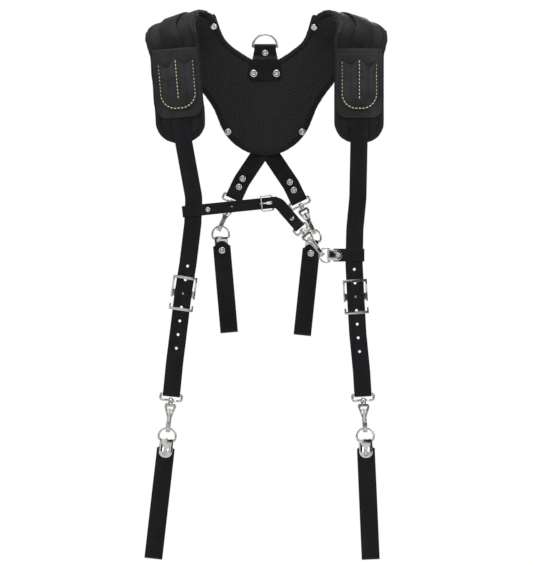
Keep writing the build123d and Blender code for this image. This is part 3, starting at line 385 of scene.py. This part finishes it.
# %% Finish the CAD pieces
SAME_POINT = 0.01 * MM
CRISP_ANGLE, BEVEL_ANGLE = 35, 38
CAST_SMOOTHING = 12
CAST_SIZE = 0.6 * MM
CORNER_SETS = ("front_left", "front_right", "back_left", "back_right")


def finish(node, material, edge=0.0, cast=0.0):
    """Give a CAD piece its material, and rounded edges or a cast surface."""
    piece = nodes[node]
    piece.data.materials.clear()
    piece.data.materials.append(material)
    weld = piece.modifiers.new("joined_faces", "WELD")
    weld.merge_threshold = SAME_POINT
    if cast:
        remesh = piece.modifiers.new("casting", "REMESH")
        remesh.mode = "VOXEL"
        remesh.voxel_size = cast
        smooth = piece.modifiers.new("soft_edges", "SMOOTH")
        smooth.factor, smooth.iterations = 0.5, CAST_SMOOTHING
    if edge:
        bevel = piece.modifiers.new("rounded_edges", "BEVEL")
        bevel.width, bevel.segments = edge, 2
        bevel.limit_method, bevel.angle_limit = "ANGLE", radians(BEVEL_ANGLE)
        bevel.harden_normals = True
    for face in piece.data.polygons:
        face.use_smooth = True
    if not cast and not edge:
        piece.data.set_sharp_from_angle(angle=radians(CRISP_ANGLE))


# %% Every metal part and strap
for corner in CORNER_SETS:
    finish(corner + "_hook", cast_nickel, cast=CAST_SIZE)
    finish(corner + "_gate", cast_nickel, edge=0.3 * MM)
    finish(corner + "_eye", wire_nickel)
    finish(corner + "_ring", wire_nickel)
    finish(corner + "_clip", wire_nickel, edge=0.2 * MM)
    finish(corner + "_rivet", rivet_nickel)
    finish(corner + "_hanger", strap_leather, edge=0.5 * MM)
finish("chest_hook", cast_nickel, cast=CAST_SIZE)
for name in ("chest_gate", "chest_prong", "frame_buckle_left", "frame_buckle_right"):
    finish(name, cast_nickel, edge=0.4 * MM)
for name in ("chest_eye", "chest_tab_ring", "chest_buckle", "top_ring"):
    finish(name, wire_nickel)
finish("chest_tab_clip", wire_nickel, edge=0.2 * MM)
for name in ("body_rivets", "chest_rivets"):
    finish(name, rivet_nickel)
for name in ("strap_left", "strap_right", "chest_long_strap", "chest_short_strap", "chest_tab", "ring_tab",
             "back_patch", "shoulder_keeper_left", "shoulder_keeper_right"):
    finish(name, strap_leather, edge=0.5 * MM)
print("hardware and straps finished")

# %% [markdown]
# ## The shoulder pad
#
# One padded piece runs from the yoke behind, over both shoulders and down the front. It could be sculpted by
# hand, but leather and mesh over foam have a shape of their own, so cloth simulation makes it here: the layers
# are joined, remeshed into even squares, and blown up gently while the edges and the rivets hold them in.
#
# Everything is measured from the line that each shoulder folds over. Below that line the pad is flat, behind or
# in front, and above it the pad follows an arc.

# %% Where the shoulders fold
PAD_INNER, PAD_MIDDLE, PAD_OUTER = 45 * MM, 51 * MM, 57 * MM
STRAP_MIDDLE = PAD_OUTER + 1.5 * MM
STRAP_CROSS_Z = -186 * MM


class Side:
    """One shoulder: the line the pad folds over, and how its front half lies."""

    def __init__(self, name, sign, arm_angle, fold_slope):
        arm, slope = radians(arm_angle), radians(fold_slope)
        self.name, self.sign, self.lean = name, sign, 2 * slope - arm
        advance = pi * STRAP_MIDDLE * tan(arm - slope)
        rise = advance / 2 * sin(slope)
        behind_x = sign * (rise - STRAP_CROSS_Z) * tan(arm)
        self.front_top = Vector((behind_x + sign * advance * cos(slope), 0, -rise))
        self.fold = Vector((behind_x + sign * advance * cos(slope) / 2, 0, 0))
        self.up = Vector((sign * sin(slope), 0, cos(slope)))

    def height(self, point):
        """How far above the fold line a point is, or 0."""
        return max(0.0, (point - self.fold).dot(self.up))

    def outward(self, point):
        """Distance from the fold's middle, and the way outwards there."""
        arm = self.up * self.height(point) + Vector((0, point.y, 0))
        return arm.length, arm.normalized()


left = Side("left", 1, 32.5, 16.25)
right = Side("right", -1, 33.0, 19.0)


def side_of(point):
    """The shoulder that a point belongs to."""
    return left if point.x > 0 else right


print("the folds are", round((left.fold - right.fold).length / MM), "mm apart")

# %% [markdown]
# The pad's layers are joined and remeshed. Voxel remeshing gives squares of one size, which is what the cloth
# needs, and forgets the seams between the layers, which a padded piece doesn't show.

# %% Join and remesh the layers
PAD_LAYERS = ("pad_lining", "pad_foam", "pad_leather", "pad_binding")
PAD_VOXEL = 4.2 * MM


def new_piece(name, mesh, material=None):
    """An object made from a bmesh, shaded smooth."""
    data = bpy.data.meshes.new(name)
    mesh.to_mesh(data)
    mesh.free()
    piece = bpy.data.objects.new(name, data)
    scene.collection.objects.link(piece)
    if material:
        data.materials.append(material)
    for face in data.polygons:
        face.use_smooth = True
    return piece


def applied(piece):
    """Turn a piece's modifiers into its mesh."""
    graph = bpy.context.evaluated_depsgraph_get()
    mesh = bpy.data.meshes.new_from_object(piece.evaluated_get(graph))
    piece.modifiers.clear()
    piece.data = mesh


layers = bmesh.new()
for name in PAD_LAYERS:
    layers.from_mesh(nodes[name].data)
bmesh.ops.remove_doubles(layers, verts=layers.verts, dist=SAME_POINT)
pad = new_piece("pad_shape", layers)
remesh = pad.modifiers.new("even_squares", "REMESH")
remesh.mode = "VOXEL"
remesh.voxel_size = PAD_VOXEL
applied(pad)
print("the pad has", len(pad.data.polygons), "squares")

# %% [markdown]
# Next the pad is made a little thinner, so that it has room to swell, and thinnest at its edges, where the
# binding pulls it together and a Smooth modifier rounds the rim. `edge_distance` is the distance to the
# binding, and `room` says how far the surface may swell: nowhere under a strap or at a rivet, and most in the
# open.

# %% Distances on the pad
def tree_of(*names):
    """A search tree over the surfaces of CAD pieces."""
    points, faces = [], []
    for name in names:
        first = len(points)
        mesh = nodes[name].data
        points += [v.co for v in mesh.vertices]
        faces += [[first + i for i in face.vertices] for face in mesh.polygons]
    return BVHTree.FromPolygons(points, faces)


binding_tree = tree_of("pad_binding")
cover_tree = tree_of("strap_left", "strap_right", "ring_tab", "back_patch", "shoulder_keeper_left",
                     "shoulder_keeper_right", "pouch_sleeve_left", "pouch_sleeve_right", "body_rivets")
BOUND_EDGE, RIM_WIDTH = 3 * MM, 7 * MM
COVERED, FREE_ROOM, CROWN_WIDTH = 1.5 * MM, 12 * MM, 26 * MM
CAD_HALF, EDGE_HALF, CROWN_RISE = 6, 4.5, 1.0  # half the pad's thickness, in millimetres
SKIN, SINK, SWELL = 0.1 * MM, 1.7 * MM, 1.6 * MM  # a gap, and how far each face may move in the open


def edge_distance(point):
    """How far a point of the pad is from its edge."""
    return BOUND_EDGE + binding_tree.find_nearest(point)[3]


def eased(value):
    """A smooth step from 0 to 1."""
    value = min(1.0, max(0.0, value))
    return value * value * (3 - 2 * value)


def limits(point):
    """The least and greatest distance from the fold's middle that the pad's surface may have."""
    room = eased((cover_tree.find_nearest(point)[3] - COVERED) / FREE_ROOM)
    return PAD_INNER + SKIN - SINK * room, PAD_OUTER - SKIN + SWELL * room


def set_height(point, side, height):
    """The point moved to this height above the middle of the pad."""
    distance, way = side.outward(point)
    return point + way * (PAD_MIDDLE + height - distance)


# %% Round the rim and thin the pad
rim = pad.vertex_groups.new(name="rim")
rim.add([v.index for v in pad.data.vertices if edge_distance(v.co) < RIM_WIDTH], 1.0, "REPLACE")
rounding = pad.modifiers.new("rounded_rim", "SMOOTH")
rounding.factor, rounding.iterations, rounding.vertex_group = 0.5, 5, "rim"
applied(pad)
for vertex in pad.data.vertices:
    side = side_of(vertex.co)
    height = side.outward(vertex.co)[0] - PAD_MIDDLE
    crown = sin(pi / 2 * min(1.0, (edge_distance(vertex.co) - BOUND_EDGE) / CROWN_WIDTH))
    vertex.co = set_height(vertex.co, side, height * (EDGE_HALF + CROWN_RISE * crown) / CAD_HALF)
print("the pad is thinned to", 2 * EDGE_HALF, "mm at its edges")

# %% [markdown]
# Now the cloth: the edges and the places round the rivets are pinned, air pressure swells the rest for twenty
# frames, and no point may go beyond its limits. The result becomes plain mesh, with one subdivision.

# %% Swell the pad
PRESSURE, FRAMES = 4, 20
HELD_RIM, HELD_ROUND_RIVETS = 8 * MM, 5 * MM


def swollen(piece, pinned, pressure):
    """Blow a closed piece up as cloth, with some of its points held."""
    group = piece.vertex_groups.new(name="held")
    group.add(pinned, 1.0, "REPLACE")
    cloth = piece.modifiers.new("cloth", "CLOTH")
    cloth.settings.vertex_group_mass = "held"
    cloth.settings.use_pressure = True
    cloth.settings.uniform_pressure_force = pressure
    cloth.settings.effector_weights.gravity = 0
    cloth.settings.tension_stiffness = 8
    cloth.settings.compression_stiffness = 8
    cloth.settings.shear_stiffness = 4
    cloth.settings.bending_stiffness = 0.4
    cloth.point_cache.frame_start, cloth.point_cache.frame_end = 1, FRAMES
    for frame_number in range(1, FRAMES + 1):
        scene.frame_set(frame_number)
    applied(piece)
    scene.frame_set(1)
    piece.vertex_groups.clear()


# %% Twenty frames of cloth
rivet_tree = tree_of("body_rivets")
pinned = [v.index for v in pad.data.vertices
          if edge_distance(v.co) < HELD_RIM or rivet_tree.find_nearest(v.co)[3] < HELD_ROUND_RIVETS]
before = [v.co.copy() for v in pad.data.vertices]
swollen(pad, pinned, PRESSURE)
moved = [(v.co - old).length for v, old in zip(pad.data.vertices, before)]
print("the cloth moved", round(max(moved) / MM, 2), "mm at most,",
      round(sum(moved) / len(moved) / MM, 2), "mm on average")


# %% Hold it in and subdivide
def held_in(piece):
    """Keep every point of the pad inside its limits."""
    beyond = 0
    for vertex in piece.data.vertices:
        side = side_of(vertex.co)
        distance, way = side.outward(vertex.co)
        low, high = limits(vertex.co)
        allowed = min(high, max(low, distance))
        beyond += allowed != distance
        vertex.co += way * (allowed - distance)
    return beyond


held_in(pad)
smooth = pad.modifiers.new("one_subdivision", "SUBSURF")
smooth.levels = smooth.render_levels = 1
applied(pad)
print(held_in(pad), "of", len(pad.data.vertices), "points were held back")

# %% [markdown]
# The pad is three materials: leather outside, mesh inside, and a narrow leather binding folded over the edge.
# The mesh is cut along the line where the binding ends. Every edge that crosses the line gets a point exactly
# on it, so the cut is smooth, not stepped. Each part is then closed with a Solidify modifier, and the binding
# stands a little proud of the other two.

# %% Helpers for the cut
BINDING_WIDTH = 9 * MM
LAYER, BINDING, PROUD = 1.6 * MM, 1.4 * MM, 0.1


def cut_along(mesh, value):
    """Split a mesh's faces where a value at its points changes sign."""
    on_line = set()
    for edge in list(mesh.edges):
        first, second = edge.verts
        a, b = value(first.co), value(second.co)
        if a * b < 0:
            on_line.add(bmesh.utils.edge_split(edge, first, a / (a - b))[1])
    for face in list(mesh.faces):
        ends = [v for v in face.verts if v in on_line]
        if len(ends) == 2:
            bmesh.utils.face_split(face, *ends)


def part_of_pad(name, wanted, material, thickness, offset):
    """The pad's faces that are wanted, as a closed piece of this thickness."""
    mesh = bmesh.new()
    mesh.from_mesh(pad.data)
    bmesh.ops.delete(mesh, geom=[face for face in mesh.faces if not wanted[face.index]], context="FACES")
    piece = new_piece(name, mesh, material)
    solid = piece.modifiers.new("thickness", "SOLIDIFY")
    solid.thickness, solid.offset = thickness, offset
    solid.use_even_offset = True
    return piece


# %% Cover, lining and binding
whole = bmesh.new()
whole.from_mesh(pad.data)
cut_along(whole, lambda point: edge_distance(point) - BINDING_WIDTH)
whole.to_mesh(pad.data)
whole.free()
centres = [face.center for face in pad.data.polygons]
bound = [edge_distance(centre) < BINDING_WIDTH for centre in centres]
outside = [side_of(centre).outward(centre)[0] > PAD_MIDDLE for centre in centres]
cover = part_of_pad("pad_cover", [not b and o for b, o in zip(bound, outside)], pad_leather, LAYER, -1)
lining = part_of_pad("pad_mesh_lining", [not b and not o for b, o in zip(bound, outside)], lining_mesh,
                     LAYER, -1)
edging = part_of_pad("pad_edging", bound, binding_leather, BINDING, PROUD)
bpy.data.objects.remove(pad)
for piece, slot, *stands_for in ((cover, "black_leather", "pad_leather", "pad_foam"),
                                 (lining, "mesh_lining", "pad_lining"),
                                 (edging, "edge_binding", "pad_binding")):
    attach(piece, "harness")
    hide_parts(*stands_for)
    print(piece.name, "has", len(piece.data.polygons), "faces")

# %% [markdown]
# ## The sleeves over the front straps
#
# On each front pad a leather sleeve is sewn down at both sides and arches over the strap. Flat leather bends
# easily one way, so its shape is one curve swept down the pad: high over the strap and low at the seams. A
# grid of points says that exactly. Its top edge is turned over twice, which makes the ribs there.

# %% The sleeve's shape
SLEEVE_TOP, SLEEVE_BOTTOM, SLEEVE_HALF = 4 * MM, 132 * MM, 42 * MM
SLEEVE_CORNER = 18 * MM
ROLLS, ROLL_HALF, ROLL_HEIGHT = (8 * MM, 14.5 * MM), 3.4 * MM, 0.9 * MM
SLEEVE_ROWS, SLEEVE_COLUMNS = 64, 44
SLEEVE_THICKNESS, SLEEVE_LIFT, FLAT_SIDE = 1.9 * MM, 0.3 * MM, 6 * MM
STRAP_HALF, STRAP_OUTER = 16.3 * MM, 60 * MM


def on_front(side, across, down, out):
    """A point in front: across and down the pad from its fold, and out from the wearer."""
    x = side.front_top.x + side.sign * (across * cos(side.lean) - down * sin(side.lean))
    z = side.front_top.z - down * cos(side.lean) - across * sin(side.lean)
    fold_height = (x - side.fold.x) * side.up.x + z * side.up.z
    if fold_height <= 0:
        return Vector((x, -out, z))
    angle = fold_height / PAD_OUTER
    foot = Vector((x, 0, z)) - side.up * fold_height
    return foot + side.up * (out * sin(angle)) - Vector((0, out * cos(angle), 0))


def sleeve_height(across):
    """How far out the sleeve's inner face is: over the strap in the middle, on the pad at the sides."""
    over = eased((SLEEVE_HALF - FLAT_SIDE - abs(across)) / (SLEEVE_HALF - FLAT_SIDE - STRAP_HALF))
    return PAD_OUTER + SLEEVE_LIFT + (STRAP_OUTER - PAD_OUTER + SKIN) * over


def half_width_at(down, half, bottom, corner):
    """Half the width of a panel whose lower corners are rounded."""
    into = down - (bottom - corner)
    if into <= 0:
        return half
    return half - corner + sqrt(max(0.0, corner ** 2 - into ** 2))


def sheet_of(name, rows, material, thickness, offset=1):
    """A sheet of leather through rows of points, closed to this thickness, with soft edges."""
    mesh = bmesh.new()
    grid = [[mesh.verts.new(point) for point in row] for row in rows]
    for upper, lower in zip(grid, grid[1:]):
        for a, b, c, d in zip(upper, upper[1:], lower[1:], lower):
            mesh.faces.new((a, b, c, d))
    bmesh.ops.recalc_face_normals(mesh, faces=mesh.faces)
    if sum(face.normal.y for face in mesh.faces) > 0:
        bmesh.ops.reverse_faces(mesh, faces=mesh.faces)
    piece = new_piece(name, mesh, material)
    solid = piece.modifiers.new("thickness", "SOLIDIFY")
    solid.thickness, solid.offset = thickness, offset
    bevel = piece.modifiers.new("worn_edges", "BEVEL")
    bevel.width, bevel.segments = thickness * 0.3, 2
    bevel.limit_method, bevel.angle_limit = "ANGLE", radians(50)
    return piece


# %% The sleeve's rows
def steps(low, high, count):
    """Evenly spaced numbers from low to high."""
    return [low + (high - low) * i / count for i in range(count + 1)]


def sleeve_rows(side):
    """The sleeve's inner face, from its rolled top edge to its rounded lower corners."""
    rows = []
    for down in steps(SLEEVE_TOP, SLEEVE_BOTTOM, SLEEVE_ROWS):
        half = half_width_at(down, SLEEVE_HALF, SLEEVE_BOTTOM, SLEEVE_CORNER)
        roll = 0.0
        for centre in ROLLS:
            roll += ROLL_HEIGHT * max(0.0, 1 - ((down - centre) / ROLL_HALF) ** 2)
        sag = 0.5 * MM * sin(pi * min(1.0, (SLEEVE_BOTTOM - down) / (26 * MM)))
        row = []
        for share in steps(-1, 1, SLEEVE_COLUMNS):
            across = half * share
            crease = roll * cos(pi / 2 * share) ** 0.5 if abs(share) < 1 else 0.0
            row.append(on_front(side, across, down, sleeve_height(across) + crease + max(0.0, sag)))
        rows.append(row)
    return rows


# %% Both sleeves
for side in (left, right):
    sleeve = sheet_of("sleeve_" + side.name, sleeve_rows(side), pouch_leather, SLEEVE_THICKNESS)
    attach(sleeve, "harness")
    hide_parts("pouch_sleeve_" + side.name)
    print(sleeve.name, "is", round((SLEEVE_BOTTOM - SLEEVE_TOP) / MM), "mm long")

# %% [markdown]
# ## The pockets
#
# A pocket panel is sewn on the sleeve along a U and down the middle, which leaves two open tubes for pencils
# and nails. Each tube bulges between its seams. The top edge dips in the middle of each tube, because the
# leather is cut that way to let fingers in. A second, shorter layer covers the lower half of each tube.

# %% The pockets' shape
POCKET_HALF, POCKET_TOP, POCKET_BOTTOM, POCKET_CORNER = 35 * MM, 24 * MM, 118 * MM, 30 * MM
SEAM_IN, MIDDLE_SEAM_END = 3.5 * MM, 98 * MM
POCKET_BULGE, POCKET_LIFT, SEAM_SHARE = 7.0 * MM, 2.0 * MM, 0.07
OPENING_DIP, INNER_DIP_SHARE = 14 * MM, 0.7
FLAP_DROP, FLAP_DIP = 30 * MM, 11 * MM
PANEL_ROWS, FLAP_ROWS, PANEL_COLUMNS = 56, 40, 56
PANEL_THICKNESS, FLAP_LIFT, FLAP_THICKNESS = 1.5 * MM, 1.55 * MM, 2.0 * MM


def pocket_height(across, down):
    """How far out the pocket's inner face is: held down at its seams, bulging between them."""
    half = half_width_at(down, POCKET_HALF, POCKET_BOTTOM, POCKET_CORNER) - SEAM_IN
    share = min(1.0, abs(across) / max(half, 1 * MM))
    clear_of_seam = max(0.0, (share - SEAM_SHARE) / (1 - SEAM_SHARE))
    tube = sin(pi * clear_of_seam) ** 0.8 if 0 < clear_of_seam < 1 else 0.0
    merged = cos(pi / 2 * share)
    joined_tubes = eased((down - MIDDLE_SEAM_END + 6 * MM) / (16 * MM))
    shape = tube * (1 - joined_tubes) + merged * joined_tubes
    closing = eased((POCKET_BOTTOM - SEAM_IN - down) / (30 * MM))
    return sleeve_height(across) + POCKET_LIFT + POCKET_BULGE * shape * closing


def panel_rows(side, top_edge, count=PANEL_ROWS, lift=0.0):
    """A pocket panel's inner face, between a top edge and the rounded bottom."""
    rows = []
    for progress in steps(0, 1, count):
        row = []
        for share in steps(-1, 1, PANEL_COLUMNS):
            top = top_edge(share)
            down = top + (POCKET_BOTTOM - top) * progress
            half = half_width_at(down, POCKET_HALF, POCKET_BOTTOM, POCKET_CORNER)
            across = half * share
            row.append(on_front(side, across, down, pocket_height(across, down) + lift))
        rows.append(row)
    return rows


def back_edge(share):
    """The top edge of the longer layer, with a shallow dip in each tube."""
    return POCKET_TOP + OPENING_DIP * sin(pi * abs(share)) ** 2 * (1 if share > 0 else INNER_DIP_SHARE)


def front_edge(share):
    """The top edge of the shorter layer."""
    return POCKET_TOP + FLAP_DROP + FLAP_DIP * abs(sin(pi * share)) ** 1.5


# %% Both pairs of pockets
for side in (left, right):
    pocket = sheet_of("pocket_" + side.name, panel_rows(side, back_edge), pouch_leather, PANEL_THICKNESS)
    flap = sheet_of("pocket_front_" + side.name, panel_rows(side, front_edge, FLAP_ROWS, FLAP_LIFT),
                    pouch_leather, FLAP_THICKNESS)
    for piece in (pocket, flap):
        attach(piece, "harness")
        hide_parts("pouch_pockets_" + side.name)
    print(pocket.name, "bulges", POCKET_BULGE / MM, "mm")

# %% [markdown]
# The pockets are sewn with thick cream thread. A stitch is a short rounded rod that dives into the leather at
# both ends, so each is a small closed mesh of its own, laid along the line of the seam.

# %% The seams
STITCH, STITCH_GAP, THREAD = 4.4 * MM, 2.2 * MM, 0.8 * MM
SEAM_TOP, MIDDLE_SEAM_TOP, SIDE_STITCH_RISE = 30 * MM, 28 * MM, 0.45 * MM
THREAD_SIDES = 8


def seam_u(side):
    """Points along the U seam, from the top of one side round to the other."""
    half, low = POCKET_HALF - SEAM_IN, POCKET_BOTTOM - POCKET_CORNER
    turn = POCKET_CORNER - SEAM_IN
    points = [(-half, down) for down in steps(SEAM_TOP, low, 40)]
    points += [(-half + turn - turn * cos(a), low + turn * sin(a)) for a in steps(0, pi / 2, 30)[1:]]
    points += [(across, low + turn) for across in steps(-half + turn, half - turn, 8)[1:]]
    points += [(half - turn + turn * sin(a), low + turn * cos(a)) for a in steps(0, pi / 2, 30)[1:]]
    points += [(half, down) for down in steps(low, SEAM_TOP, 40)[1:]]
    return points


def evenly(points, spacing):
    """Places at even spacing along a line, with the way it goes there."""
    travelled, due, places = 0.0, 0.0, []
    for (x1, y1), (x2, y2) in zip(points, points[1:]):
        length = sqrt((x2 - x1) ** 2 + (y2 - y1) ** 2)
        while due <= travelled + length:
            share = (due - travelled) / length
            places.append(((x1 + (x2 - x1) * share, y1 + (y2 - y1) * share),
                           ((x2 - x1) / length, (y2 - y1) / length)))
            due += spacing
        travelled += length
    return places


# %% One stitch, and a row of them
def add_stitch(mesh, start, end, out):
    """One stitch: a rod whose ends dive into the leather."""
    along = (end - start).normalized()
    sideways = along.cross(out).normalized()
    rings = []
    for share, size, depth in ((0, 0.45, -0.7), (0.12, 0.9, -0.1), (0.35, 1, 0.35), (0.65, 1, 0.35),
                               (0.88, 0.9, -0.1), (1, 0.45, -0.7)):
        centre = start.lerp(end, share) + out * (depth * THREAD)
        rings.append([mesh.verts.new(centre + (sideways * cos(a) + out * sin(a)) * (THREAD * size))
                      for a in steps(0, 2 * pi, THREAD_SIDES)[:-1]])
    for ring, following in zip(rings, rings[1:]):
        for i in range(THREAD_SIDES):
            after = (i + 1) % THREAD_SIDES
            mesh.faces.new((ring[i], ring[after], following[after], following[i]))
    mesh.faces.new(rings[0][::-1])
    mesh.faces.new(rings[-1])


def sew(side, seam, height, mesh):
    """Stitches along a seam on a surface of this height."""
    for (across, down), (way_across, way_down) in evenly(seam, STITCH + STITCH_GAP):
        half = STITCH / 2
        start, end = (on_front(side, across + way_across * s, down + way_down * s,
                               height(across + way_across * s, down + way_down * s)) for s in (-half, half))
        centre = (start + end) / 2
        out = Vector((0, -1, 0)) if side.height(centre) == 0 else side.outward(centre)[1]
        add_stitch(mesh, start, end, out)


# %% Sew the pockets
def top_of_panel(across, down):
    """The leather's outer face under a stitch, which is steeper and so a little higher in the side seams."""
    if down < front_edge(across / POCKET_HALF):
        return pocket_height(across, down) + PANEL_THICKNESS
    rise = SIDE_STITCH_RISE if abs(across) > POCKET_HALF / 2 else 0.0
    return pocket_height(across, down) + FLAP_LIFT + FLAP_THICKNESS + rise


for side in (left, right):
    mesh = bmesh.new()
    sew(side, seam_u(side), top_of_panel, mesh)
    sew(side, [(0, MIDDLE_SEAM_TOP), (0, MIDDLE_SEAM_END)], top_of_panel, mesh)
    bmesh.ops.recalc_face_normals(mesh, faces=mesh.faces)
    stitches = new_piece("stitches_" + side.name, mesh, thread)
    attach(stitches, "harness")
    print(stitches.name, "has", len(stitches.data.polygons) // (5 * THREAD_SIDES + 2), "stitches")
